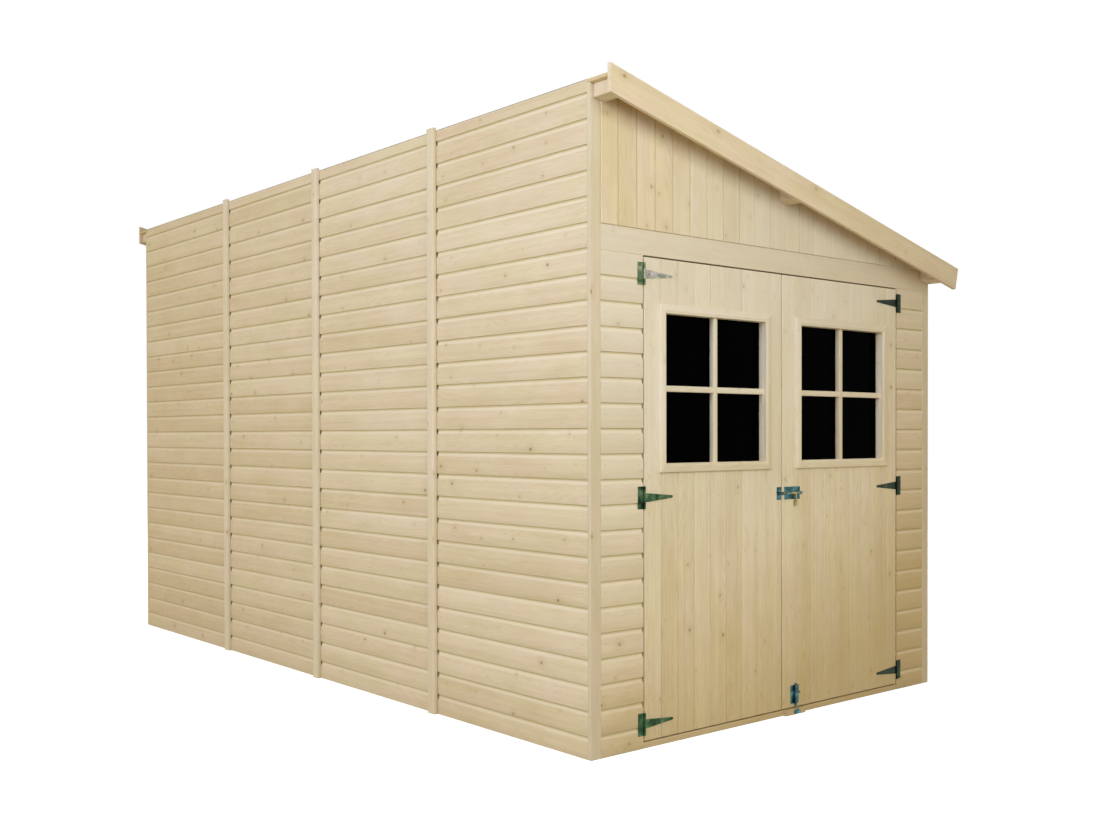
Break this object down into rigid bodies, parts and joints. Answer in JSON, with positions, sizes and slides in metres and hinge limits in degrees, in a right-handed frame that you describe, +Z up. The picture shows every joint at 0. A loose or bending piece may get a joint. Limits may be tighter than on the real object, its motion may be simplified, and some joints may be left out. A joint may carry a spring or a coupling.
{
  "type": "wooden garden shed",
  "caption": "Wooden garden shed with lapped board walls, a single-slope roof, double doors with small-paned windows, T hinges and two barrel bolts.",
  "frame": {"origin": "on the ground, at the middle of the whole outline seen from above", "axes": "+X along the door front from the tall wall to the low one, +Y from the doors to the back, +Z up"},
  "size_m": [2.12, 4.12, 2.353],
  "materials": {
    "planed_spruce": "planed, untreated spruce",
    "frame_timber": "planed spruce battens and studs",
    "deck_boards": "planed spruce boards",
    "roofing_felt": "mineral-faced bitumen felt",
    "window_glass": "clear sheet that reads black from outside",
    "hinge_steel": "green passivated zinc on steel",
    "bolt_steel": "blue passivated zinc on steel"
  },
  "bodies": {
    "shed": {"floor_joists": "frame_timber", "floor_boards": "deck_boards", "left_wall_panel_1": "planed_spruce", "left_wall_panel_2": "planed_spruce", "left_wall_panel_3": "planed_spruce", "left_wall_panel_4": "planed_spruce", "left_wall_studs": "frame_timber", "left_wall_battens": "planed_spruce", "right_wall_panel_1": "planed_spruce", "right_wall_panel_2": "planed_spruce", "right_wall_panel_3": "planed_spruce", "right_wall_panel_4": "planed_spruce", "right_wall_studs": "frame_timber", "right_wall_battens": "planed_spruce", "rear_wall_panels": "planed_spruce", "rear_wall_studs": "frame_timber", "rear_wall_batten": "planed_spruce", "rear_trim_board": "planed_spruce", "rear_head_rail": "frame_timber", "rear_gable_rails": "frame_timber", "rear_gable_boards": "planed_spruce", "front_panel_left": "planed_spruce", "front_panel_right": "planed_spruce", "door_posts": "frame_timber", "door_sill": "frame_timber", "front_trim_board": "planed_spruce", "front_head_rail": "frame_timber", "front_gable_rails": "frame_timber", "front_gable_boards": "planed_spruce", "corner_boards": "planed_spruce", "purlins": "frame_timber", "roof_boards": "deck_boards", "roof_felt": "roofing_felt", "front_barge_board": "planed_spruce", "rear_barge_board": "planed_spruce", "hinge_plates": "hinge_steel", "bolt_block": "planed_spruce", "bolt_block_plate": "bolt_steel"},
    "left_door": {"left_door_boards": "planed_spruce", "left_door_ledges": "planed_spruce", "left_window_frame": "planed_spruce", "left_window_glass": "window_glass", "left_hinge_straps": "hinge_steel", "bolt_catch": "bolt_steel"},
    "right_door": {"right_door_boards": "planed_spruce", "right_door_ledges": "planed_spruce", "right_window_frame": "planed_spruce", "right_window_glass": "window_glass", "right_hinge_straps": "hinge_steel", "bolt_guides": "bolt_steel"},
    "middle_bolt_bar": {"middle_bolt": "bolt_steel"},
    "bottom_bolt_bar": {"bottom_bolt": "bolt_steel"}
  },
  "joints": [
    {"name": "left_door_swing", "type": "hinge", "parent": "shed", "child": "left_door", "pos_m": [-0.79025, -1.9594, 0.89], "axis": [0, 0, -1], "range_deg": [0, 165]},
    {"name": "right_door_swing", "type": "hinge", "parent": "shed", "child": "right_door", "pos_m": [0.74225, -1.9594, 0.89], "axis": [0, 0, 1], "range_deg": [0, 165]},
    {"name": "middle_bolt_slide", "type": "slide", "parent": "right_door", "child": "middle_bolt_bar", "axis": [-1, 0, 0], "range_m": [-0.006, 0.034]},
    {"name": "bottom_bolt_slide", "type": "slide", "parent": "right_door", "child": "bottom_bolt_bar", "axis": [0, 0, -1], "range_m": [-0.006, 0.022]}
  ]
}
